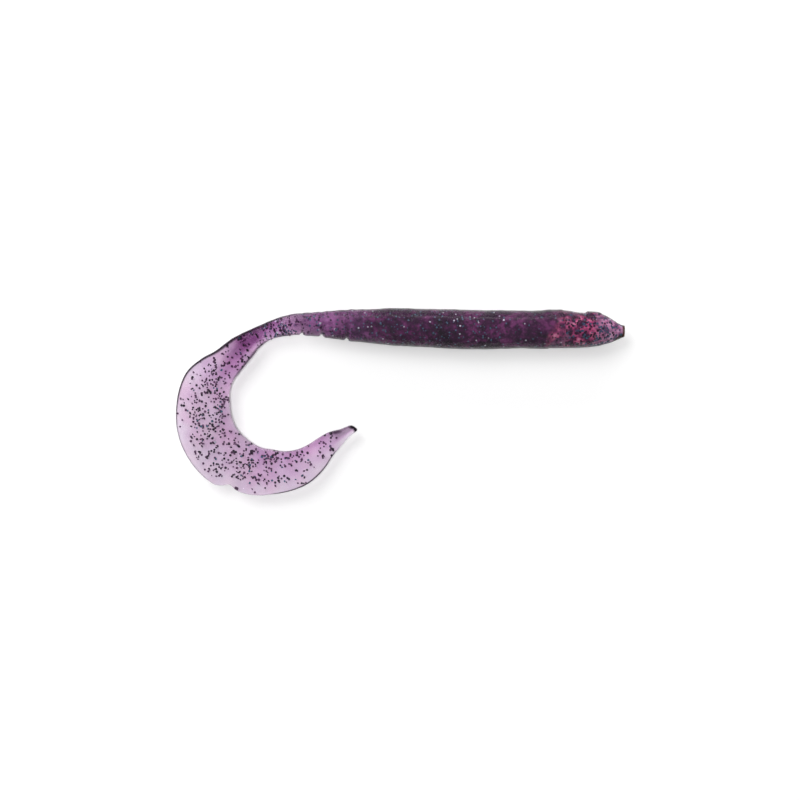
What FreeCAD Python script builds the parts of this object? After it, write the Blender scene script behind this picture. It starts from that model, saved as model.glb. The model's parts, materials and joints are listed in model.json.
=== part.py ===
import FreeCAD, Part
import math
import os

from FreeCAD import Vector

# Soft plastic ribbon-tail worm, 190 mm (7.5 in) from nose to tail tip along its centre line.
# It lies on its side on the plane z = 0, nose towards +X, and its tail curls towards -Y.
# One flexible moulding bends everywhere. It is cut here into short segments that hinge on each
# other, at its collar, at its moulded ring grooves and evenly along the plain stretches.

# ---------------------------------------------------------------- driving dimensions (mm, deg)

BODY_HEADING = 178.8        # direction of the straight body, from the nose to the tail

# Centre line from the nose: (length, turn to the left). Everything after the first is the tail.
CENTRE_LINE = (
    (92.0, 0.0),            # straight body, as far as the last ring groove
    (17.4, 41.5),           # stem bends down
    (9.2, 0.0),             # straight root of the ribbon
    (18.2, 64.0),           # first half of the curl
    (29.2, 88.5),           # second half of the curl
    (11.8, 26.0),           # ribbon eases out
    (12.6, -14.0),          # tip flicks back
)
LENGTH = sum(length for length, turn in CENTRE_LINE)

# Half width on the left of the centre line (inside of the curl), by distance from the nose.
INNER_WIDTH = (
    (0.0, 1.6), (2.5, 2.6), (4.4, 3.5), (8.2, 4.4), (12.0, 4.7), (18.0, 5.1), (30.0, 5.4),
    (44.0, 6.0), (66.0, 5.3), (80.0, 4.2), (92.4, 2.95), (103.0, 2.4), (112.0, 3.8),
    (122.0, 6.3), (132.0, 7.9), (147.0, 8.0), (160.0, 7.1), (172.0, 4.4), (178.0, 3.4),
    (184.0, 3.3), (188.4, 2.2), (LENGTH, 0.6),
)
# Half width on the right of it (outside of the curl).
OUTER_WIDTH = (
    (0.0, 1.5), (1.3, 1.9), (6.3, 4.9), (8.5, 5.5), (18.0, 5.7), (30.0, 5.4), (44.0, 5.2),
    (66.0, 5.2), (80.0, 4.5), (92.4, 3.3), (102.0, 2.5), (112.0, 4.0), (118.0, 4.6),
    (126.0, 7.3), (140.0, 8.3), (150.0, 7.8), (160.0, 6.3), (172.0, 5.5), (181.0, 3.3),
    (184.0, 2.1), (187.0, 1.0), (LENGTH, 0.6),
)
# Full thickness, from the underside to the top: a round body that thins to a flat ribbon.
HEIGHT = (
    (0.0, 3.0), (1.3, 4.0), (4.4, 7.2), (8.5, 9.4), (18.0, 10.5), (44.0, 10.9), (66.0, 10.2),
    (80.0, 8.4), (92.4, 6.0), (103.0, 4.0), (112.0, 2.8), (122.0, 1.9), (140.0, 1.5),
    (172.0, 1.4), (184.0, 1.7), (LENGTH, 1.6),
)
# Height of its middle above the surface. The tail is level with the middle of the body, where
# the two halves of a flat mould meet, so the whole curl hangs clear of the surface.
MIDDLE = (
    (0.0, 5.0), (18.0, 5.35), (44.0, 5.45), (66.0, 5.3), (80.0, 5.2), (103.0, 5.1),
    (122.0, 5.0), (140.0, 4.9), (163.0, 5.0), (LENGTH, 5.1),
)

HINGE_GAP = 0.24            # clear space between two segments at their hinge axis

# Segments from the nose to the tip: (node, distance from the nose to its far end).
SEGMENTS = (
    ("head", 17.8), ("collar", 23.0),
    ("body_front", 37.0), ("body_mid_front", 51.0), ("body_mid_rear", 65.0), ("body_rear", 79.5),
    ("ring_front", 86.7), ("ring_rear", 92.4),
    ("tail_stem", 104.0), ("tail_root", 116.0),
    ("ribbon_shoulder", 129.0), ("ribbon_crown", 142.0), ("ribbon_belly", 155.0),
    ("ribbon_sweep", 168.0), ("ribbon_end", 181.0), ("tail_tip", LENGTH),
)
ROOT = "body_mid_rear"      # the segment that the others hang from

# Hinge at the far end of each segment but the last: (kind, lowest angle, highest angle).
# A bend turns about the vertical, and a lift raises the outer segment off the surface. Each is
# named after the segment that it moves.
HINGES = (
    ("bend", -18, 18), ("lift", 0, 20), ("bend", -20, 20), ("lift", 0, 20),
    ("lift", 0, 20), ("bend", -22, 22), ("lift", 0, 20), ("bend", -28, 14),
    ("lift", 0, 25), ("bend", -30, 6), ("lift", 0, 25), ("bend", -30, 6),
    ("lift", 0, 30), ("bend", -30, 6), ("lift", 0, 45),
)

CUTTER_SIZE = 40.0          # larger than any cross-section
SPANS = 3                   # a segment is lofted through one more cross-section than this
HEAD_SECTIONS = (0.0, 1.3, 3.5, 6.0, 8.5, 12.0, 17.8)


# ---------------------------------------------------------------- centre line and cross-section

def smooth_value(stations, distance):
    """Value of a smooth curve through the stations, with no overshoot between them."""
    last = len(stations) - 1
    index = 0
    while index < last - 1 and distance > stations[index + 1][0]:
        index += 1

    def slope(i):
        if i in (0, last):
            return 0.0 if i == last else (stations[1][1] - stations[0][1]) / stations[1][0]
        before = (stations[i][1] - stations[i - 1][1]) / (stations[i][0] - stations[i - 1][0])
        after = (stations[i + 1][1] - stations[i][1]) / (stations[i + 1][0] - stations[i][0])
        if before * after <= 0.0:
            return 0.0
        return 2.0 * before * after / (before + after)

    start, low = stations[index]
    end, high = stations[index + 1]
    span = end - start
    t = min(max((distance - start) / span, 0.0), 1.0)
    return ((1 + 2 * t) * (1 - t) ** 2 * low + t * (1 - t) ** 2 * span * slope(index)
            + t * t * (3 - 2 * t) * high - t * t * (1 - t) * span * slope(index + 1))


def centre_point(distance):
    """Point of the centre line in plan, and its heading in degrees, nose at (0, 0)."""
    x = y = 0.0
    heading = BODY_HEADING
    left = distance
    for length, turn in CENTRE_LINE:
        run = min(length, left)
        swing = turn * run / length
        middle = math.radians(heading + swing / 2.0)
        half = math.radians(swing / 2.0)
        chord = run if half == 0.0 else run * math.sin(half) / half
        x += chord * math.cos(middle)
        y += chord * math.sin(middle)
        heading += swing
        left -= run
        if left <= 0.0:
            break
    return Vector(x, y, 0.0), heading


def local_frame(distance):
    """Point of the centre line at its height, direction towards the tip, and left."""
    point, heading = centre_point(distance)
    point.z = smooth_value(MIDDLE, distance)
    angle = math.radians(heading)
    along = Vector(math.cos(angle), math.sin(angle), 0.0)
    left = Vector(-math.sin(angle), math.cos(angle), 0.0)
    return point, along, left


def section_wire(distance):
    """Elliptical cross-section at right angles to the centre line."""
    point, along, left = local_frame(distance)
    inner = smooth_value(INNER_WIDTH, distance)
    outer = smooth_value(OUTER_WIDTH, distance)
    half_width = (inner + outer) / 2.0
    half_height = min(smooth_value(HEIGHT, distance) / 2.0, 0.98 * half_width)
    centre = point + left * ((inner - outer) / 2.0)
    side = centre + left * half_width
    top = centre + Vector(0, 0, half_height)
    return Part.Wire([Part.Ellipse(side, top, centre).toShape()])


# ---------------------------------------------------------------- hinges

def hinge_axis(index):
    """Place and direction of a hinge: positive turns left seen from above, or lifts."""
    position, along, left = local_frame(SEGMENTS[index][1])
    if HINGES[index][0] == "bend":
        return position, Vector(0, 0, 1)
    towards_tip = index >= segment_index(ROOT)
    return position, -left if towards_tip else left


def segment_index(name):
    return [node for node, end in SEGMENTS].index(name)


def hinge_name(index):
    moved = index if index < segment_index(ROOT) else index + 1
    return SEGMENTS[moved][0] + "_" + HINGES[index][0]


def hinge_cutter(index):
    """Bow-tie shaped gap that lets two segments turn to the hinge's limits without touching."""
    kind, lowest, highest = HINGES[index]
    position, along, left = local_frame(SEGMENTS[index][1])
    reach = CUTTER_SIZE / 2.0
    if kind == "bend":
        across = left
        extrusion = Vector(0, 0, CUTTER_SIZE)
        base = position - extrusion / 2.0
        if index < segment_index(ROOT):
            lowest, highest = -highest, -lowest
    else:
        across = Vector(0, 0, 1)
        extrusion = left * CUTTER_SIZE
        base = position - extrusion / 2.0
    gap = HINGE_GAP / 2.0
    upper = gap + reach * math.tan(math.radians(highest / 2.0))
    lower = gap + reach * math.tan(math.radians(-lowest / 2.0))
    outline = [(-upper, reach), (-gap, 0.0), (-lower, -reach),
               (lower, -reach), (gap, 0.0), (upper, reach), (-upper, reach)]
    corners = [base + along * u + across * v for u, v in outline]
    return Part.Face(Part.makePolygon(corners)).extrude(extrusion)


# ---------------------------------------------------------------- segments

def section_distances(index):
    if index == 0:
        return HEAD_SECTIONS
    start = SEGMENTS[index - 1][1]
    end = SEGMENTS[index][1]
    return [start + (end - start) * i / SPANS for i in range(SPANS + 1)]


def make_segment(index):
    wires = [section_wire(distance) for distance in section_distances(index)]
    solid = Part.makeLoft(wires, True, False)
    if index > 0:
        solid = solid.cut(hinge_cutter(index - 1))
    if index < len(HINGES):
        solid = solid.cut(hinge_cutter(index))
    return max(solid.Solids, key=lambda piece: piece.Volume)


def box_of(solids):
    box = FreeCAD.BoundBox()
    for solid in solids:
        box.add(solid.optimalBoundingBox(False))
    return box


def build():
    """Segments in their own frame: origin under the middle of the whole worm's box."""
    solids = {node: make_segment(index) for index, (node, end) in enumerate(SEGMENTS)}
    box = box_of(solids.values())
    shift = Vector(-(box.XMin + box.XMax) / 2.0, -(box.YMin + box.YMax) / 2.0, -box.ZMin)
    for solid in solids.values():
        solid.translate(shift)
    return solids, shift


def main():
    os.makedirs("parts", exist_ok=True)
    solids, shift = build()
    for node, solid in solids.items():
        solid.exportStep("parts/" + node + ".step")
        print("%-16s volume %8.1f mm3  valid %s" % (node, solid.Volume, solid.isValid()))
    box = box_of(solids.values())
    print("length %.1f  box %.1f x %.1f x %.1f" % (LENGTH, box.XLength, box.YLength, box.ZLength))


main()
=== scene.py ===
import json
import math
import bpy
import numpy as np
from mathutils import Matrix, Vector


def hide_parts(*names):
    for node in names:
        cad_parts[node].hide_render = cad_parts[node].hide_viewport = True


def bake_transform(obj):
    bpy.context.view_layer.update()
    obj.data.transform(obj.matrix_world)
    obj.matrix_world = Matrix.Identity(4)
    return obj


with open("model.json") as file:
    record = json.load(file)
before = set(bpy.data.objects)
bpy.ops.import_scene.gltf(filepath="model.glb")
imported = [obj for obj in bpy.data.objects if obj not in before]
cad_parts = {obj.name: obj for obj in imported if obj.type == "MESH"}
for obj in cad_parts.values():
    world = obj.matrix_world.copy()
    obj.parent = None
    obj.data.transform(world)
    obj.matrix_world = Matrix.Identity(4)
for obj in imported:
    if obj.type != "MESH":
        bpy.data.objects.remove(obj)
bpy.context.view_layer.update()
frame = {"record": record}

# A soft plastic ribbon-tail worm on a white table. One surface is worked out along the centre
# line, from the nose to the tail tip, and cut into one piece per hinge in the middle of the
# segments.
# Sizes here are in millimetres and degrees, as in the design. Along the worm, s is the distance
# from the nose. Across it, u goes from -1 on the outside of the tail's curl to +1 inside it.

MM = 0.001
BODY_HEADING = 178.8        # direction of the straight body, from the nose to the tail
# Centre line from the nose: (length, turn to the left).
CENTRE_LINE = (
    (92.0, 0.0), (17.4, 41.5), (9.2, 0.0), (18.2, 64.0), (29.2, 88.5), (11.8, 26.0), (12.6, -14.0),
)
LENGTH = sum(length for length, turn in CENTRE_LINE)

# Half width towards the inside of the tail's curl, by distance from the nose.
INNER_WIDTH = (
    (0.0, 1.65), (0.7, 1.9), (2.5, 2.7), (4.0, 3.3), (7.0, 4.15), (10.0, 4.7), (14.0, 5.0),
    (18.0, 5.1), (30.0, 5.45), (44.0, 6.05), (54.0, 5.8), (66.0, 5.4), (72.0, 4.95), (79.5, 4.25),
    (86.7, 3.4), (92.4, 2.95), (97.0, 2.75), (103.0, 2.4), (106.0, 2.65), (112.0, 3.8),
    (118.0, 5.0), (124.0, 6.4), (130.0, 7.65), (136.0, 8.0), (142.0, 7.85), (148.0, 7.75),
    (153.0, 7.45), (158.0, 6.9), (163.0, 6.5), (169.0, 5.0), (173.4, 4.2), (178.0, 3.75),
    (182.6, 3.4), (184.0, 3.05), (186.2, 2.35), (189.1, 1.95), (189.8, 1.5), (LENGTH, 0.35),
)
# Half width towards its outside. The dip at 153 is the nick in the ribbon's edge.
OUTER_WIDTH = (
    (0.0, 1.6), (1.0, 1.8), (6.5, 4.55), (8.0, 4.75), (12.0, 4.9), (18.0, 5.45), (30.0, 5.15),
    (44.0, 5.05), (66.0, 5.08), (72.0, 4.72), (79.5, 4.32), (86.7, 3.66), (92.4, 3.12),
    (97.0, 2.75), (102.0, 2.45), (106.0, 2.75), (112.0, 4.05), (118.0, 4.5), (121.0, 5.55),
    (126.0, 7.25), (132.0, 7.6), (139.0, 8.35), (147.0, 8.6), (150.3, 8.4), (151.7, 7.4),
    (153.2, 6.2), (155.0, 6.95), (156.3, 7.05), (159.0, 6.9), (163.0, 6.35), (168.2, 6.15),
    (170.3, 6.0), (175.3, 4.75), (178.8, 3.5), (181.3, 2.7), (184.0, 2.0), (186.4, 1.15),
    (188.0, 0.75), (189.7, 0.4), (LENGTH, 0.15),
)
# Full thickness, and the height of its middle above the table.
HEIGHT = (
    (0.0, 3.0), (1.3, 4.0), (4.4, 7.2), (8.5, 9.4), (18.0, 10.5), (44.0, 10.85), (66.0, 10.2),
    (80.0, 8.4), (92.4, 6.1), (103.0, 4.2), (112.0, 3.2), (120.0, 2.3), (128.0, 1.7),
    (140.0, 1.5), (172.0, 1.4), (184.0, 1.8), (LENGTH, 1.6),
)
MIDDLE = (
    (0.0, 5.0), (18.0, 5.35), (44.0, 5.45), (66.0, 5.3), (80.0, 5.2), (103.0, 5.1),
    (122.0, 5.0), (140.0, 4.9), (163.0, 5.0), (LENGTH, 5.1),
)
# How dark the painted edge shade is, put where the moulding's edge bends the light away: outside and
# inside.
OUTER_PAINTED_EDGE_SHADE = (
    (0.0, 0.8), (1.3, 0.4), (6.5, 0.3), (11.0, 0.6), (11.3, 0.1), (17.4, 0.1), (18.0, 1.0),
    (22.0, 1.0), (22.6, 0.3), (40.0, 0.3), (79.0, 0.2), (92.0, 0.3), (100.0, 0.85),
    (128.0, 0.85), (136.0, 0.55), (146.0, 0.4), (152.0, 0.2), (161.0, 0.2), (164.0, 0.85),
    (180.5, 0.85), (183.5, 0.3), (185.0, 0.0), (LENGTH, 0.0),
)
INNER_PAINTED_EDGE_SHADE = (
    (0.0, 0.8), (2.5, 0.6), (4.5, 0.1), (21.0, 0.1), (23.0, 0.25), (79.0, 0.3), (92.0, 0.3),
    (102.0, 0.15), (105.0, 0.9), (116.0, 0.9), (121.0, 0.4), (125.0, 0.15), (130.0, 0.3),
    (150.0, 0.4), (170.0, 0.4), (182.5, 0.4), (184.2, 0.8), (185.8, 0.7), (187.0, 0.25),
    (188.3, 0.4), (189.3, 1.0), (LENGTH, 1.0),
)
# Segments of the design, from the nose: (CAD node, distance from the nose to its far end).
SEGMENTS = (
    ("head", 17.8), ("collar", 23.0),
    ("body_front", 37.0), ("body_mid_front", 51.0), ("body_mid_rear", 65.0), ("body_rear", 79.5),
    ("ring_front", 86.7), ("ring_rear", 92.4),
    ("tail_stem", 104.0), ("tail_root", 116.0),
    ("ribbon_shoulder", 129.0), ("ribbon_crown", 142.0), ("ribbon_belly", 155.0),
    ("ribbon_sweep", 168.0), ("ribbon_end", 181.0), ("tail_tip", LENGTH),
)
NAMES = [name for name, end in SEGMENTS]
ENDS = [end for name, end in SEGMENTS]
GROOVES = (79.5, 86.7, 92.4)
STEP = 0.35                 # between two rings of points on the surface
AROUND = 112                # points in a ring, before those at the parting lines
SKIN_DEPTH = 2.2            # clear plastic over the body's core
CLEAR_OF_TABLE = 0.02       # the lowest that the surface may reach
# The collar's dashes break up the painted edge shade there.
DASH_SPACING = 1.3          # of the dark dashes at the collar
COLOUR_SLANT = 1.9          # how much further back the colours meet inside the curl than on top


def smooth(stations, s):
    """Smooth curve through the stations at every s, with no overshoot between them."""
    x = np.array([a for a, b in stations])
    y = np.array([b for a, b in stations])
    d = np.diff(y) / np.diff(x)
    m = np.zeros(len(x))
    product = d[:-1] * d[1:]
    total = d[:-1] + d[1:]
    m[1:-1] = np.where(product > 0, 2.0 * product / np.where(total == 0, 1.0, total), 0.0)
    m[0] = d[0]
    m[-1] = d[-1]
    i = np.clip(np.searchsorted(x, s) - 1, 0, len(x) - 2)
    span = x[i + 1] - x[i]
    t = np.clip((s - x[i]) / span, 0, 1)
    return ((1 + 2 * t) * (1 - t) ** 2 * y[i] + t * (1 - t) ** 2 * span * m[i]
            + t * t * (3 - 2 * t) * y[i + 1] - t * t * (1 - t) * span * m[i + 1])


def ramp(low, high, x):
    """0 up to low and 1 from high on, with a smooth rise between, or a fall if high is lower."""
    t = np.clip((x - low) / (high - low), 0, 1)
    return t * t * (3 - 2 * t)


def hump(x, centre, width):
    """A bell of height 1 at the centre, down to a third of it at the width."""
    return np.exp(-((x - centre) / width) ** 2)


# ---------------------------------------------------------------- centre line

nose = next(m for m in frame["record"]["mounts"] if m["name"] == "nose_face")["pos_m"]
FINE = 0.05                 # between two points of the centre line
COUNTS = [round(length / FINE) for length, turn in CENTRE_LINE]
TURNS = np.concatenate([
    np.full(count, turn / count) for count, (length, turn) in zip(COUNTS, CENTRE_LINE)])
TRACK_S = np.arange(len(TURNS) + 1) * FINE
HEADING = BODY_HEADING + np.concatenate([[0.0], np.cumsum(TURNS)])
MIDDLES = np.radians((HEADING[1:] + HEADING[:-1]) / 2)
TRACK_X = nose[0] / MM + np.concatenate([[0.0], np.cumsum(np.cos(MIDDLES) * FINE)])
TRACK_Y = nose[1] / MM + np.concatenate([[0.0], np.cumsum(np.sin(MIDDLES) * FINE)])


def track(s):
    """Centre point and left-hand direction in plan at every s."""
    x = np.interp(s, TRACK_S, TRACK_X)
    y = np.interp(s, TRACK_S, TRACK_Y)
    angle = np.radians(np.interp(s, TRACK_S, HEADING))
    return x, y, -np.sin(angle), np.cos(angle)


# ---------------------------------------------------------------- the worm's surface

def half_width(s):
    return (smooth(INNER_WIDTH, s) + smooth(OUTER_WIDTH, s)) / 2


def offset(s):
    """How far the middle of the section lies from the centre line, towards the inside."""
    return (smooth(INNER_WIDTH, s) - smooth(OUTER_WIDTH, s)) / 2


def flatness(s):
    """0 where the worm is round, 1 where it is a flat ribbon."""
    return ramp(98, 130, s)


def waviness(s, phi):
    """Slight unevenness of a soft casting, a few hundredths of a millimetre."""
    return (0.030 * np.sin(0.41 * s + 2.0 * phi) + 0.022 * np.sin(0.97 * s - 3.0 * phi + 1.1)
            + 0.016 * np.sin(1.9 * s + phi + 0.4))


def ribbon_wave(s, u):
    """How much higher than its middle line the ribbon's soft waves lift it."""
    rise = ramp(114, 128, s) * (1 - ramp(178, 189, s))
    return rise * (0.30 + 0.30 * np.sin(0.19 * s + 0.6) - 0.38 * u * np.sin(0.13 * s + 0.3)
                   + 0.14 * np.sin(0.47 * s + 2.2 * u))


def cross_section(s, u):
    """Half thickness at u: an ellipse in the body, and a flat ribbon that thickens inwards."""
    flat = flatness(s)
    power = 2.0 + 9.0 * flat
    edge = np.sqrt(np.clip(1 - np.abs(u) ** power, 0, 1))
    profile = 1 + flat * (0.08 * u + 0.16 * ramp(-0.8, -0.1, u) + 0.16 * hump(u, 0.80, 0.20)
                          + 0.12 * hump(u, -0.95, 0.05) - 0.12)
    spine = ramp(102, 107, s) * (1 - ramp(108, 138, s))
    profile += spine * (0.75 * hump(u, ramp(108, 130, s) * 0.5, 0.42) - 0.25)
    nub = ramp(182, 184.5, s) * (0.40 * hump(u, 0.60, 0.45) - 0.35 * ramp(0.0, -0.7, u))
    return smooth(HEIGHT, s) / 2 * edge * (profile + nub)


def parting_line(s, u):
    """A thin ridge down both sides, where the two halves of the mould met."""
    return 0.10 * hump(np.abs(u), 1.0, 0.0009) * ramp(1.0, 3.0, s)


def ring_grooves(s, u):
    """Grooves that are deep inside the curl and shallow outside, each with a low swelling ahead."""
    deep = 0.06 + 0.74 * ramp(0.1, 1.0, u)
    return sum(0.10 * hump(s, groove - 1.3, 0.8) - deep * hump(s, groove, 0.50) for groove in GROOVES)


def collar_step(s, u):
    """The collar stands proud outside, and further back inside."""
    outer = 0.20 * ramp(17.5, 18.1, s) * (1 - ramp(21.5, 24.0, s)) * ramp(0.2, -0.9, u)
    inner = 0.24 * ramp(21.3, 21.9, s) * (1 - ramp(22.5, 31.0, s)) * ramp(0.1, 0.9, u)
    return outer + inner


def head_bump(s, u):
    """A low bump on the outside of the head, with a sharp rear end."""
    return 0.50 * ramp(6.0, 7.4, s) * (1 - ramp(10.8, 11.3, s)) * ramp(-0.72, -0.96, u)


def surface(s, phi, share=1.0):
    """Points in metres at (s, phi). phi 0 is the inside of the curl, and a quarter turn the top."""
    u = np.cos(phi)
    up = np.sin(phi)
    half = cross_section(s, u)
    mouldings = parting_line(s, u) + ring_grooves(s, u) + collar_step(s, u) + head_bump(s, u)
    proud = (1 - flatness(s)) * (mouldings + waviness(s, phi))
    across = half_width(s) * u * share + proud * u + offset(s)
    z = np.where(up >= 0, half, -half) * share + proud * up
    z = np.maximum(z + smooth(MIDDLE, s) + ribbon_wave(s, u), CLEAR_OF_TABLE)
    x, y, left_x, left_y = track(s)
    return np.stack([x + left_x * across, y + left_y * across, z], -1) * MM


# ---------------------------------------------------------------- what the materials read

def painted_groove_shade(s):
    """Painted shade in bands just before the ring grooves, and a broad one between the first two."""
    return 0.6 * sum(hump(s, groove - 0.3, 0.8) for groove in GROOVES) + 0.9 * hump(s, 81.5, 1.5)


def depth(s, u):
    """Clear plastic, in mm, that light goes through: all of the tail, but only the body's skin."""
    inside = ramp(0.0, 0.7, u)
    outside = ramp(0.0, -0.7, u)
    thick_stem = 0.6 * smooth(HEIGHT, s) * (1 - flatness(s))
    through = np.maximum(2 * cross_section(s, u), thick_stem)
    # The tail's tint isn't even: (where, change all over, more inside, more outside).
    changes = (
        (hump(s, 105, 4.5), 0.0, 0.0, 1.30),
        (hump(s, 106, 9), 0.35, -0.40, 0.80),
        (hump(s, 119, 4), 0.0, 0.25, 0.0),
        (hump(s, 128, 8), 0.0, 0.0, 0.22),
        (hump(s, 143, 7), 0.0, 0.20, 0.0),
        (ramp(150, 160, s), 0.55, 0.28, -0.42),
        (ramp(168, 177, s), -0.10, 0.10, -0.10),
    )
    for where, all_over, inner, outer in changes:
        through *= 1 + where * (all_over + inner * inside + outer * outside)
    through *= 1 + ramp(181, 184, s) * (0.10 - 0.45 * ramp(-0.2, 0.3, u))
    # Painted light: thinner skin lightens the body inside the curl, away from the light; thicker skin
    # darkens the head's outside.
    skin = 1 - 0.40 * inside * (1 - ramp(74, 84, s)) + 0.40 * outside * (1 - ramp(13, 20, s))
    solid = 1 - ramp(80, 108, s)
    # The groove bands add painted shade as extra depth.
    return through * (1 - solid) + SKIN_DEPTH * skin * solid + painted_groove_shade(s)


def clearing(s, u):
    """Distance that the core clears by: from the nose, and read further on inside the curl."""
    return s + 4 * ramp(0.0, 0.8, u)


def painted_outline(stations, reach, softness, s, distance):
    """One side's painted edge shade, as far from the edge as its reach and softness say."""
    return smooth(stations, s) * (1 - ramp(0.6 * reach, softness * reach, distance))


def painted_edge_shade_and_smoke(s, u):
    """How dark the painted edge shade (dashed at the collar), the root's smoky side and the tip are,
    0 to 1.
    """
    distance = (1 - np.abs(u)) * half_width(s)
    outer_reach = 0.24 + 0.62 * hump(s, 112, 13) + 0.12 * hump(s, 132, 9) + 0.16 * hump(s, 174, 9)
    outer = painted_outline(OUTER_PAINTED_EDGE_SHADE, outer_reach, 1.5, s, distance)
    outer *= 1 - 0.7 * hump(s, 20, 2.6) * (0.5 + 0.5 * np.cos(2 * math.pi * s / DASH_SPACING))
    inner_reach = 0.22 + 0.28 * hump(s, 112, 8) + 0.8 * ramp(183, 184.6, s)
    inner = painted_outline(INNER_PAINTED_EDGE_SHADE, inner_reach, 1.6, s, distance)
    nub = 0.38 * ramp(183, 185, s) * ramp(-0.3, 0.2, u)
    smoke = 0.20 * hump(s, 109, 6) * ramp(0.6, 0.1, u) + 0.40 * hump(s, 104, 4) * ramp(0.0, -0.7, u)
    smoke += 0.12 * ramp(181, 184, s)
    end = ramp(LENGTH - 1.4, LENGTH - 0.6, s)
    sides = np.where(u < 0, outer, np.maximum(inner, nub))
    return np.maximum(np.maximum(sides, smoke), end)


def milky(s, up):
    """1 on the underside of the tail, where the cloudiness of the whole thickness is gathered."""
    return ramp(88, 112, s) * ramp(0.1, -0.1, up)


def brown(s, u):
    """1 on the nose face and its lip inside the curl, where the plastic is brown."""
    return 1 - ramp(0.3, 0.9, s - 2.4 * ramp(0.45, 0.95, u))


# ---------------------------------------------------------------- meshes

def angles():
    """Angles round the section, closer together at the mould's parting line on each side."""
    even = np.linspace(0, 2 * math.pi, AROUND, endpoint=False)
    close = np.array([-0.05, -0.03, -0.015, 0.015, 0.03, 0.05])
    return np.unique(np.round(np.concatenate([even, close, close + math.pi]) % (2 * math.pi), 6))


def cuts():
    """Where the surface is cut: the middle of each segment but the first and the last."""
    middles = [(ENDS[i - 1] + ENDS[i]) / 2 for i in range(1, len(ENDS) - 1)]
    return [0.0] + middles + [LENGTH]


def add_attribute(mesh, name, values):
    attribute = mesh.attributes.new(name, "FLOAT", "POINT")
    attribute.data.foreach_set("value", np.asarray(values, np.float32).ravel())


def add_rest(mesh, points):
    """Where each point is at rest, so that patterns stay put when the worm bends."""
    attribute = mesh.attributes.new("rest", "FLOAT_VECTOR", "POINT")
    attribute.data.foreach_set("vector", np.asarray(points, np.float32).ravel())


def new_object(name, points, faces):
    mesh = bpy.data.meshes.new(name)
    mesh.from_pydata([tuple(p) for p in points], [], faces)
    mesh.update()
    obj = bpy.data.objects.new(name, mesh)
    bpy.context.scene.collection.objects.link(obj)
    return obj


def tube(name, s, share, material, first, last):
    """One stretch of the worm's surface. Its cut ends are closed with invisible faces."""
    phi = angles()
    grid_s, grid_phi = np.meshgrid(s, phi, indexing="ij")
    points = surface(grid_s, grid_phi, share).reshape(-1, 3)
    normals = point_normals(grid_s, grid_phi, share).reshape(-1, 3)
    rows, around = len(s), len(phi)
    index = np.arange(rows * around).reshape(rows, around)
    after = np.roll(index, -1, 1)
    faces = np.stack([index[:-1], after[:-1], after[1:], index[1:]], -1).reshape(-1, 4).tolist()
    faces.append(index[0][::-1].tolist())
    faces.append(index[-1].tolist())
    obj = new_object(name, points, faces)
    mesh = obj.data
    grid_u = np.cos(grid_phi)
    add_rest(mesh, points)
    add_attribute(mesh, "depth", depth(grid_s, grid_u))
    add_attribute(mesh, "along", grid_s)
    add_attribute(mesh, "clearing", clearing(grid_s, grid_u))
    add_attribute(mesh, "painted_groove_shade", painted_groove_shade(grid_s))
    add_attribute(mesh, "two_tone", grid_s - COLOUR_SLANT * grid_u)
    add_attribute(mesh, "painted_edge_shade_and_smoke", painted_edge_shade_and_smoke(grid_s, grid_u))
    add_attribute(mesh, "brown", brown(grid_s, grid_u))
    add_attribute(mesh, "milky", milky(grid_s, np.sin(grid_phi)))
    mesh.materials.append(material)
    mesh.materials.append(bpy.data.materials["cut"])
    count = len(mesh.polygons)
    mesh.polygons[count - 2].material_index = 0 if first else 1
    mesh.polygons[count - 1].material_index = 0 if last else 1
    smooth_faces = np.ones(count, bool)
    smooth_faces[-2:] = False
    mesh.polygons.foreach_set("use_smooth", smooth_faces)
    corner_normals = normals[[v for polygon in mesh.polygons for v in polygon.vertices]]
    corner_normals[mesh.polygons[count - 2].loop_start:] = np.repeat(
        [mesh.polygons[count - 2].normal, mesh.polygons[count - 1].normal], around, 0)
    mesh.normals_split_custom_set(corner_normals.tolist())
    return obj


def point_normals(s, phi, share):
    """Normals from the worked-out surface a little to each side, the same in both pieces at a cut."""
    small_s = 0.03
    small_phi = 0.004
    low = np.clip(s - small_s, 0, LENGTH)
    high = np.clip(s + small_s, 0, LENGTH)
    long_way = surface(high, phi, share) - surface(low, phi, share)
    round_way = surface(s, phi + small_phi, share) - surface(s, phi - small_phi, share)
    normals = np.cross(round_way, long_way)
    return normals / np.maximum(np.linalg.norm(normals, axis=-1, keepdims=True), 1e-15)


# ---------------------------------------------------------------- materials

def new_material(name):
    material = bpy.data.materials.new(name)
    material.use_nodes = True
    nodes = material.node_tree.nodes
    nodes.clear()
    output = nodes.new("ShaderNodeOutputMaterial")
    return material, nodes, material.node_tree.links, output


def attribute_node(nodes, name, kind="Fac"):
    node = nodes.new("ShaderNodeAttribute")
    node.attribute_name = name
    return node.outputs[kind]


def math_node(nodes, links, operation, a, b=None):
    node = nodes.new("ShaderNodeMath")
    node.operation = operation
    for socket, value in zip(node.inputs, (a, b)):
        if value is None:
            continue
        if isinstance(value, (int, float)):
            socket.default_value = value
        else:
            links.new(value, socket)
    return node.outputs[0]


def ramp_node(nodes, links, fac, stops):
    node = nodes.new("ShaderNodeValToRGB")
    elements = node.color_ramp.elements
    while len(elements) < len(stops):
        elements.new(0.5)
    for element, (position, colour) in zip(elements, stops):
        element.position = position
        element.color = (*colour, 1.0)
    links.new(fac, node.inputs["Fac"])
    return node.outputs["Color"]


def noise_node(nodes, links, vector, scale, detail=3.0, roughness=0.5):
    node = nodes.new("ShaderNodeTexNoise")
    node.inputs["Scale"].default_value = scale
    node.inputs["Detail"].default_value = detail
    node.inputs["Roughness"].default_value = roughness
    links.new(vector, node.inputs["Vector"])
    return node.outputs["Fac"]


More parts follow.
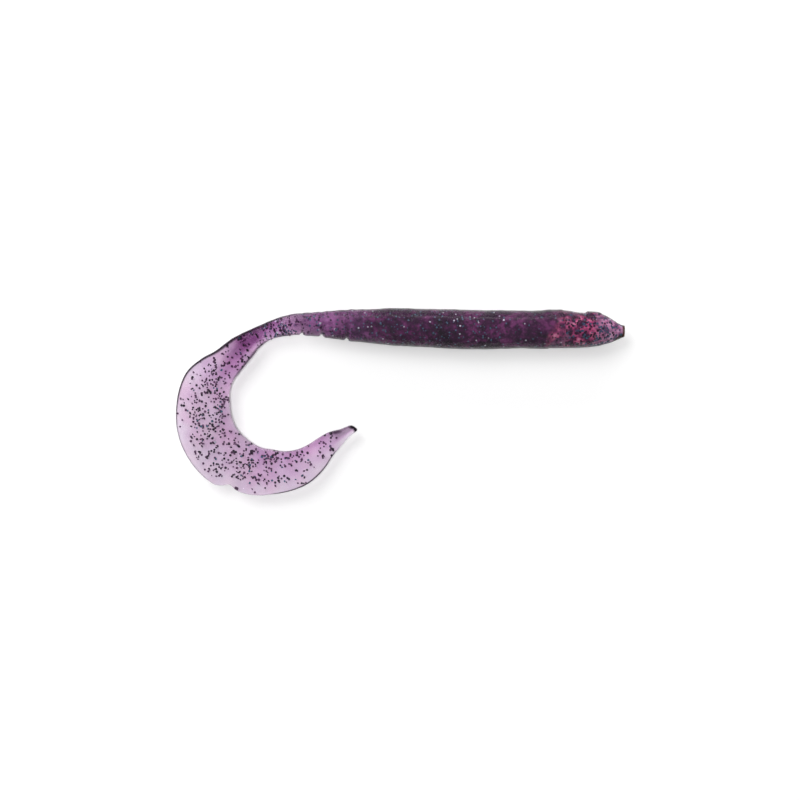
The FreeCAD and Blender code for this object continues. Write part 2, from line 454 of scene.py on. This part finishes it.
def mix_colour(nodes, links, fac, a, b, blend="MIX"):
    node = nodes.new("ShaderNodeMix")
    node.data_type = "RGBA"
    node.blend_type = blend
    for socket, value in ((node.inputs[0], fac), (node.inputs[6], a), (node.inputs[7], b)):
        if isinstance(value, (int, float)):
            socket.default_value = value
        elif isinstance(value, tuple):
            socket.default_value = (*value, 1.0)
        else:
            links.new(value, socket)
    return node.outputs[2]


def mix_value(nodes, links, share, a, b):
    """a and b mixed, with that share of b."""
    first = math_node(nodes, links, "MULTIPLY", a, 1.0 - share)
    second = math_node(nodes, links, "MULTIPLY", b, share)
    return math_node(nodes, links, "ADD", first, second)


def bump_node(nodes, links, height, strength, distance):
    node = nodes.new("ShaderNodeBump")
    node.inputs["Strength"].default_value = strength
    node.inputs["Distance"].default_value = distance
    links.new(height, node.inputs["Height"])
    return node.outputs["Normal"]


def map_range(nodes, links, value, from_min, from_max, to_min=0.0, to_max=1.0):
    node = nodes.new("ShaderNodeMapRange")
    node.inputs["From Min"].default_value = from_min
    node.inputs["From Max"].default_value = from_max
    node.inputs["To Min"].default_value = to_min
    node.inputs["To Max"].default_value = to_max
    links.new(value, node.inputs["Value"])
    return node.outputs[0]


def absorbed(thickness, absorption):
    """What is left of white light after that many mm, with that absorption per mm."""
    return tuple(math.exp(-a * thickness) for a in absorption)


def absorption_ramp(nodes, links, fac, absorption):
    stops = [(t / RAMP_DEPTH, absorbed(t, absorption)) for t in (0, 1, 2, 3, 4, 6, 8)]
    return ramp_node(nodes, links, fac, stops)


VIOLET = (0.092, 0.205, 0.095)      # absorption per mm
RED = (0.16, 0.50, 0.26)
RAMP_DEPTH = 8.0                    # thickness at the far end of the absorption ramps
DRIFT = ((0.40, (0.975, 0.99, 1.0)), (0.60, (1.0, 0.97, 0.985)))
# Colour of the painted edge shade in the clear plastic.
PAINTED_EDGE_SHADE = (0.012, 0.006, 0.016)
BROWN = (0.22, 0.12, 0.08)
BODY_IOR = 1.20                     # low, as the core takes the place of the light bent inside
RIBBON_IOR = 1.38
SHADOW_TOP = (0.97, 0.95, 0.97)     # what the top and the underside let through into the shadow
SHADOW_UNDERSIDE = (0.03, 0.02, 0.03)

# Cloudy colours of the core, from the dark of the cloud to its light.
CORE_VIOLET = (
    (0.38, (0.008, 0.006, 0.010)), (0.50, (0.032, 0.008, 0.031)), (0.60, (0.11, 0.028, 0.09)))
CORE_THIN = (
    (0.38, (0.08, 0.030, 0.09)), (0.51, (0.22, 0.085, 0.22)), (0.60, (0.38, 0.18, 0.38)))
CORE_RED = (
    (0.38, (0.05, 0.024, 0.05)), (0.47, (0.20, 0.050, 0.11)), (0.56, (0.43, 0.105, 0.20)),
    (0.68, (0.60, 0.31, 0.38)))
CORE_ASH = (
    (0.38, (0.12, 0.09, 0.15)), (0.50, (0.39, 0.26, 0.35)), (0.62, (0.60, 0.52, 0.60)))
# Colour of the painted shade at the ring grooves.
CORE_PAINTED_GROOVE_SHADE = (0.05, 0.025, 0.045)
CORE_DUSK = (0.10, 0.09, 0.13)
# Colour of the painted edge shade on the core.
CORE_PAINTED_EDGE_SHADE = (0.020, 0.018, 0.022)
CORE_BROWN = (0.060, 0.032, 0.022)


def head_share(nodes, links, rest):
    """1 in the red head and 0 in the violet body, with a cloudy border at the collar."""
    cloud = noise_node(nodes, links, rest, 300.0, 3.0)
    wander = map_range(nodes, links, cloud, 0.0, 1.0, -4.5, 4.5)
    place = math_node(nodes, links, "ADD", attribute_node(nodes, "two_tone"), wander)
    return map_range(nodes, links, place, 22.5, 16.5)


def gel_colour(nodes, links, rest):
    """The tint of the light by the thickness, with the painted edge shade and the brown nose face."""
    cloud = noise_node(nodes, links, rest, 230.0, 3.0)
    uneven = map_range(nodes, links, cloud, 0.3, 0.7, 0.75 / RAMP_DEPTH, 1.25 / RAMP_DEPTH)
    fac = math_node(nodes, links, "MULTIPLY", attribute_node(nodes, "depth"), uneven)
    violet = absorption_ramp(nodes, links, fac, VIOLET)
    drift = ramp_node(nodes, links, noise_node(nodes, links, rest, 170.0, 2.0), DRIFT)
    violet = mix_colour(nodes, links, 1.0, violet, drift, "MULTIPLY")
    red = absorption_ramp(nodes, links, fac, RED)
    colour = mix_colour(nodes, links, head_share(nodes, links, rest), violet, red)
    # The painted edge shade darkens the tint along the outline.
    colour = mix_colour(nodes, links, attribute_node(nodes, "painted_edge_shade_and_smoke"), colour, PAINTED_EDGE_SHADE)
    return mix_colour(nodes, links, attribute_node(nodes, "brown"), colour, BROWN)


def gel_shader(nodes, links, rest):
    """Glossy clear plastic, cloudy on the underside of the tail."""
    shader = nodes.new("ShaderNodeBsdfPrincipled")
    links.new(gel_colour(nodes, links, rest), shader.inputs["Base Color"])
    along = attribute_node(nodes, "along")
    plain = map_range(nodes, links, along, 110.0, 130.0, BODY_IOR, RIBBON_IOR)
    edge = map_range(nodes, links, attribute_node(nodes, "painted_edge_shade_and_smoke"), 0.0, 1.0, 1.4, 1.1)
    shader.inputs["IOR"].default_value = 1.3
    links.new(math_node(nodes, links, "MINIMUM", plain, edge), shader.inputs["IOR"])
    roughness = map_range(nodes, links, along, 95.0, 118.0, 0.18, 0.08)
    links.new(roughness, shader.inputs["Roughness"])
    clearness = map_range(nodes, links, attribute_node(nodes, "milky"), 0.0, 1.0, 0.985, 0.50)
    links.new(clearness, shader.inputs["Transmission Weight"])
    skin = noise_node(nodes, links, rest, 1500.0, 2.0)
    links.new(bump_node(nodes, links, skin, 0.2, 0.00005), shader.inputs["Normal"])
    return shader


def gel_material():
    """Clear tinted plastic that also lets light through into its own shadow."""
    material, nodes, links, output = new_material("gel")
    rest = attribute_node(nodes, "rest", "Vector")
    shader = gel_shader(nodes, links, rest)
    milky_share = attribute_node(nodes, "milky")
    shadow = mix_colour(nodes, links, milky_share, SHADOW_TOP, SHADOW_UNDERSIDE)
    clear = nodes.new("ShaderNodeBsdfTransparent")
    links.new(shadow, clear.inputs["Color"])
    path = nodes.new("ShaderNodeLightPath")
    mix = nodes.new("ShaderNodeMixShader")
    links.new(path.outputs["Is Shadow Ray"], mix.inputs[0])
    links.new(shader.outputs[0], mix.inputs[1])
    links.new(clear.outputs[0], mix.inputs[2])
    links.new(mix.outputs[0], output.inputs["Surface"])
    return material


def cut_material():
    """The inner faces that close a piece where the next one goes on: not there to the eye."""
    material, nodes, links, output = new_material("cut")
    clear = nodes.new("ShaderNodeBsdfTransparent")
    links.new(clear.outputs[0], output.inputs["Surface"])
    return material


def core_violet(nodes, links, rest, cleared):
    """The body's clouds, lighter towards the stem and with painted shade at the ring grooves."""
    broad = noise_node(nodes, links, rest, 110.0, 2.0)
    grain = noise_node(nodes, links, rest, 620.0, 4.0, 0.65)
    cloud = mix_value(nodes, links, 0.45, grain, broad)
    violet = ramp_node(nodes, links, cloud, CORE_VIOLET)
    thin = ramp_node(nodes, links, cloud, CORE_THIN)
    violet = mix_colour(nodes, links, map_range(nodes, links, cleared, 72.0, 90.0), violet, thin)
    # Painted shade at the ring grooves darkens the clouds.
    painted_groove_shades = map_range(nodes, links, attribute_node(nodes, "painted_groove_shade"), 0.0, 1.0, 0.0, 0.55)
    return mix_colour(nodes, links, painted_groove_shades, violet, CORE_PAINTED_GROOVE_SHADE)


def core_red(nodes, links, rest):
    """The head's finer clouds, with dusky patches, ashy towards the nose."""
    fine = noise_node(nodes, links, rest, 520.0, 3.0, 0.6)
    red = ramp_node(nodes, links, fine, CORE_RED)
    patches = noise_node(nodes, links, rest, 260.0, 1.0)
    dusk = map_range(nodes, links, patches, 0.50, 0.58, 0.0, 0.65)
    red = mix_colour(nodes, links, dusk, red, CORE_DUSK)
    ash = ramp_node(nodes, links, fine, CORE_ASH)
    nose_share = map_range(nodes, links, attribute_node(nodes, "along"), 9.5, 4.0)
    return mix_colour(nodes, links, nose_share, red, ash)


def core_material():
    """The deep plastic, too thick to see through: dark and cloudy, and gone in the thin tail."""
    material, nodes, links, output = new_material("core")
    rest = attribute_node(nodes, "rest", "Vector")
    cleared = attribute_node(nodes, "clearing")
    violet = core_violet(nodes, links, rest, cleared)
    red = core_red(nodes, links, rest)
    colour = mix_colour(nodes, links, head_share(nodes, links, rest), violet, red)
    # The painted edge shade darkens the core along the outline.
    colour = mix_colour(nodes, links, attribute_node(nodes, "painted_edge_shade_and_smoke"), colour, CORE_PAINTED_EDGE_SHADE)
    colour = mix_colour(nodes, links, attribute_node(nodes, "brown"), colour, CORE_BROWN)
    shader = nodes.new("ShaderNodeBsdfPrincipled")
    shader.inputs["Roughness"].default_value = 0.6
    shader.inputs["Specular IOR Level"].default_value = 0.1
    links.new(colour, shader.inputs["Base Color"])
    links.new(map_range(nodes, links, cleared, 100.0, 81.0), shader.inputs["Alpha"])
    links.new(shader.outputs[0], output.inputs["Surface"])
    return material


def flake_material(name, colour, roughness):
    """Foil, a little darker in some places than in others."""
    material, nodes, links, output = new_material(name)
    rest = attribute_node(nodes, "rest", "Vector")
    speckle = noise_node(nodes, links, rest, 900.0, 1.0)
    darker = tuple(c * 0.6 for c in colour)
    shade = ramp_node(nodes, links, speckle, ((0.35, darker), (0.65, colour)))
    shader = nodes.new("ShaderNodeBsdfPrincipled")
    shader.inputs["Metallic"].default_value = 0.2
    shader.inputs["Roughness"].default_value = roughness
    links.new(shade, shader.inputs["Base Color"])
    links.new(shader.outputs[0], output.inputs["Surface"])
    return material


# ---------------------------------------------------------------- flakes

DARK, TEAL, SILVER_PAINTED_GLINT, FAINT = range(4)
FLAKE_LOOKS = (             # (name, colour, roughness), in that order
    ("flake_dark", (0.020, 0.014, 0.026), 0.5), ("flake_teal", (0.05, 0.13, 0.18), 0.4),
    # The silver flakes' bright colour is partly the foil's own and partly a painted glint.
    ("flake_silver_painted_glint", (0.64, 0.72, 0.76), 0.4), ("flake_faint", (0.10, 0.045, 0.10), 0.5),
)
BODY_FLAKE = 0.26           # usual distance from the middle of a flake to a corner
TAIL_FLAKE = 0.31
FLAKE_THICKNESS = 0.05
RIBBON_START = 104.0        # from here on the flakes are all through the plastic
GROUPS = 20000              # that are tried
GROUP_SIZE = 3
GROUP_SPREAD = 2.3          # mean of how far the groups spread
GROUP_REACH = (1.2, 188.5)  # the first and the last distance from the nose
FLAKE_REACH = (1.0, 189.0)
EDGE = 0.97                 # how far across the worm the flakes reach
TAIL_KEPT = 0.065 / 17.0    # share of the tried flakes that is kept, for each mm of width
BODY_KEPT = 0.100 / 11.5
RANDOM = np.random.default_rng(7)


def tail_crowd(s, u):
    """How crowded the ribbon's flakes are: sparse along both edges and towards the tip."""
    sparse = -0.75 + 0.45 * ramp(110, 122, s)
    crowd = (0.20 + 0.80 * ramp(-0.95, sparse, u)) * (1 - 0.30 * ramp(165, 180, s))
    crowd *= 0.55 + 0.45 * (1 - ramp(0.55, 0.95, u))
    return crowd * (1 - 0.8 * ramp(180, 184, s))


def body_crowd(s):
    """How crowded the body's flakes are: most in the head and the stem, then in the middle."""
    crowd = 0.7 + 0.7 * ramp(34, 42, s) * (1 - ramp(70, 78, s)) + 1.5 * (1 - ramp(17, 22, s))
    return crowd + 0.9 * ramp(76, 82, s) + 0.6 * ramp(92, 98, s)


def flake_kinds(s, in_tail, pick):
    """Kind of each flake by its random pick. Only the first of a group may be silver, with its
    painted glint.
    """
    first = np.arange(len(s)) % GROUP_SIZE == 0
    teal = np.where(in_tail, 0.08, 0.30 + 0.12 * (1 - ramp(14, 20, s)) + 0.25 * (s < 8.5))
    silver_painted_glint = np.where(in_tail, 0.02, 0.12 - 0.09 * ((s > 9) & (s < 25))) * first
    faint = np.where(in_tail, 0.45, 0.2 * (s > 92))
    kind = np.where(pick < silver_painted_glint, SILVER_PAINTED_GLINT, np.where(pick < teal, TEAL, DARK))
    return np.where(pick > 1 - faint, FAINT, kind)


def place_flakes():
    """Random flakes in little groups: where each lies at (s, phi), how far out, tilt and kind."""
    tries = GROUP_SIZE * GROUPS
    s = RANDOM.uniform(*GROUP_REACH, GROUPS)
    u = RANDOM.uniform(-0.96, 0.96, GROUPS)
    chance = np.repeat(RANDOM.uniform(0, 1, GROUPS), GROUP_SIZE)
    spread = np.repeat(RANDOM.exponential(GROUP_SPREAD, GROUPS), GROUP_SIZE)
    s = np.clip(np.repeat(s, GROUP_SIZE) + spread * RANDOM.normal(0, 1.0, tries), *FLAKE_REACH)
    width = 2 * half_width(s)
    u = np.repeat(u, GROUP_SIZE) + spread * RANDOM.normal(0, 1.0, tries) * 2 / width
    inside = np.abs(u) < EDGE
    u = np.clip(u, -EDGE, EDGE)
    side = RANDOM.choice((1.0, -1.0), tries)
    in_tail = s > RIBBON_START
    kept_share = np.where(in_tail, TAIL_KEPT * tail_crowd(s, u), BODY_KEPT * body_crowd(s)) * width
    keep = (chance < kept_share) & inside
    lies = np.where(in_tail, side * np.arccos(u), side * np.abs(u) * math.pi)
    share = np.where(in_tail, RANDOM.uniform(0, 0.6, tries), RANDOM.uniform(0.965, 0.985, tries))
    tilt = np.where(in_tail, RANDOM.uniform(0, 1.0, tries), np.abs(RANDOM.normal(0, 0.25, tries)))
    tilt *= 1 - 0.7 * in_tail * ramp(0.75, 0.95, np.abs(u))
    kind = flake_kinds(s, in_tail, RANDOM.uniform(0, 1, tries))
    return s[keep], lies[keep], share[keep], tilt[keep], kind[keep]


def unit(vectors):
    return vectors / np.linalg.norm(vectors, axis=-1, keepdims=True)


def flake_corners(s, phi, share, tilt):
    """The twelve corners of every hexagonal flake, the upper six first."""
    outside = surface(s, phi)
    opposite = surface(s, -phi)
    x, y, left_x, left_y = track(s)
    axis = np.stack([x + left_x * offset(s), y + left_y * offset(s), smooth(MIDDLE, s)], -1) * MM
    in_tail = (s > RIBBON_START)[:, None]
    middle = np.where(in_tail, (outside + opposite) / 2, axis)
    centre = middle + (outside - middle) * share[:, None]
    normal = point_normals(s, phi, 1.0)
    lean = RANDOM.normal(size=normal.shape)
    lean = unit(lean - normal * np.sum(lean * normal, -1, keepdims=True))
    facing = normal * np.cos(tilt)[:, None] + lean * np.sin(tilt)[:, None]
    side = unit(np.cross(facing, RANDOM.normal(size=normal.shape)))
    other = np.cross(facing, side)
    size = np.where(in_tail, TAIL_FLAKE, BODY_FLAKE)
    size = size * (1 + 0.45 * (s < 17) + 0.2 * (s > 82))[:, None]
    size = size * MM * RANDOM.uniform(0.6, 1.15, (len(s), 1))
    half = facing * FLAKE_THICKNESS * MM / 2
    turns = np.radians(np.arange(6) * 60.0)
    ring = [centre + size * (side * math.cos(a) + other * math.sin(a)) for a in turns]
    return np.stack([c + half for c in ring] + [c - half for c in ring], 1)


HEX_FACES = [list(range(6)), list(range(11, 5, -1))]
HEX_FACES += [[i, i + 6, (i + 1) % 6 + 6, (i + 1) % 6] for i in range(6)]


def flake_object(name, corners, kinds, materials):
    count = len(corners)
    starts = 12 * np.arange(count)
    faces = [[start + i for i in face] for start in starts.tolist() for face in HEX_FACES]
    points = corners.reshape(-1, 3)
    obj = new_object(name, points, faces)
    add_rest(obj.data, points)
    for material in materials:
        obj.data.materials.append(material)
    obj.data.polygons.foreach_set("material_index", np.repeat(kinds, len(HEX_FACES)))
    return obj


# ---------------------------------------------------------------- assembly

BODY_BEND = 4.5             # how far from a hinge the body may bend, if the cuts leave room
BEND_SHARE = 0.92           # of that, or of the way to the nearer cut, that does bend
RIBBON_BEND = 3.4           # how far from a hinge the ribbon bends
CORE_START = 0.3
CORE_END = 110.0            # at a cut, where the core has faded out
CORE_SHARE = 0.96           # of the worm's width and height


def bend_between(obj, index):
    """Works out how far the bend around its hinge would reach, and bakes the piece's placement into
    its points.
    """
    hinge = ENDS[index]
    places = cuts()
    reach = BEND_SHARE * min(hinge - places[index], places[index + 1] - hinge, BODY_BEND)
    if hinge > RIBBON_START:
        reach = RIBBON_BEND
    x, y, left_x, left_y = track(np.array([hinge - reach, hinge + reach]))
    z = float(smooth(MIDDLE, np.array([hinge]))[0])
    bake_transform(obj)


def build_worm():
    """For every hinge a stretch of clear skin, one of core as far as there is any, and flakes."""
    cut_material()
    gel = gel_material()
    core = core_material()
    kinds = [flake_material(name, colour, roughness) for name, colour, roughness in FLAKE_LOOKS]
    flake_s, flake_phi, share, tilt, kind = place_flakes()
    corners = flake_corners(flake_s, flake_phi, share, tilt)
    places = cuts()
    for i in range(len(SEGMENTS) - 1):
        low, high = places[i], places[i + 1]
        s = np.linspace(low, high, int(math.ceil((high - low) / STEP)) + 1)
        first, last = i == 0, i == len(SEGMENTS) - 2
        piece = tube("gel_" + NAMES[i + 1], s, 1.0, gel, first, last)
        bend_between(piece, i)
        if first:
            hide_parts(NAMES[0], NAMES[1])
        else:
            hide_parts(NAMES[i + 1])
        if low < CORE_END:
            inner_s = np.unique(np.clip(s, CORE_START, CORE_END))
            inside = tube("core_" + NAMES[i + 1], inner_s, CORE_SHARE, core, first, False)
            bend_between(inside, i)
        own = (flake_s >= low) & (flake_s < high)
        glitter = flake_object("flakes_" + NAMES[i + 1], corners[own], kind[own], kinds)
        bend_between(glitter, i)


# ---------------------------------------------------------------- table, light and camera

# These are in metres and watts.
TABLE_HALF = 1.5
TABLE_TOP = -0.00003        # just under the worm's skin, so that no faces coincide
VIEW_WIDTH = 0.2296         # across the picture, at the height of VIEW_LEVEL
VIEW_LEVEL = 0.004
LENS = 100                  # mm, as the sensor's width
SENSOR = 36
SOFTBOXES = (               # (name, place, size, power)
    ("key", (-0.98, 1.12, 1.86), 1.40, 26.5), ("fill", (0.0, 0.0, 2.20), 0.28, 31.5),
)


def make_floor():
    square = ((-1, -1), (1, -1), (1, 1), (-1, 1))
    corners = [(x * TABLE_HALF, y * TABLE_HALF, 0) for x, y in square]
    obj = new_object("table", corners, [[0, 1, 2, 3]])
    obj.location.z = TABLE_TOP
    material, nodes, links, output = new_material("table_white")
    shader = nodes.new("ShaderNodeBsdfPrincipled")
    shader.inputs["Base Color"].default_value = (0.9, 0.9, 0.9, 1)
    shader.inputs["Roughness"].default_value = 0.7
    links.new(shader.outputs[0], output.inputs["Surface"])
    obj.data.materials.append(material)


def softbox(name, place, width, height, watts):
    """A rectangle of light that faces the worm and isn't seen by the camera itself."""
    light = bpy.data.lights.new(name, "AREA")
    light.shape = "RECTANGLE"
    light.size = width
    light.size_y = height
    light.energy = watts
    lamp = bpy.data.objects.new(name, light)
    lamp.location = place
    lamp.rotation_euler = (-Vector(place)).to_track_quat("-Z", "Y").to_euler()
    lamp.visible_camera = False
    bpy.context.scene.collection.objects.link(lamp)
    return lamp


def make_light():
    """Soft light from above and up on the left, in a room that is dim towards the horizon."""
    scene = bpy.context.scene
    scene.view_settings.view_transform = "Standard"
    scene.cycles.transparent_max_bounces = 32
    world = bpy.data.worlds.new("studio")
    world.use_nodes = True
    nodes = world.node_tree.nodes
    links = world.node_tree.links
    place = nodes.new("ShaderNodeTexCoord")
    split = nodes.new("ShaderNodeSeparateXYZ")
    links.new(place.outputs["Generated"], split.inputs[0])
    walls = ramp_node(nodes, links, split.outputs["Z"], ((0.0, (0.2, 0.2, 0.2)), (0.9, (1, 1, 1))))
    background = nodes["Background"]
    links.new(walls, background.inputs["Color"])
    background.inputs["Strength"].default_value = 0.20
    scene.world = world
    for name, place, size, watts in SOFTBOXES:
        lamp = softbox(name, place, size, size, watts)
        lamp.visible_glossy = False
        lamp.visible_transmission = False
    softbox("sheen", (-0.30, 2.00, 0.68), 2.4, 0.6, 16.0)


def make_camera():
    """Straight above the middle of the worm, looking down."""
    camera = bpy.data.cameras.new("camera")
    camera.lens = LENS
    camera.sensor_width = SENSOR
    obj = bpy.data.objects.new("camera", camera)
    obj.location = (0.0001, 0.0002, VIEW_WIDTH * LENS / SENSOR + VIEW_LEVEL)
    bpy.context.scene.collection.objects.link(obj)
    bpy.context.scene.camera = obj


make_floor()
make_light()
make_camera()
build_worm()
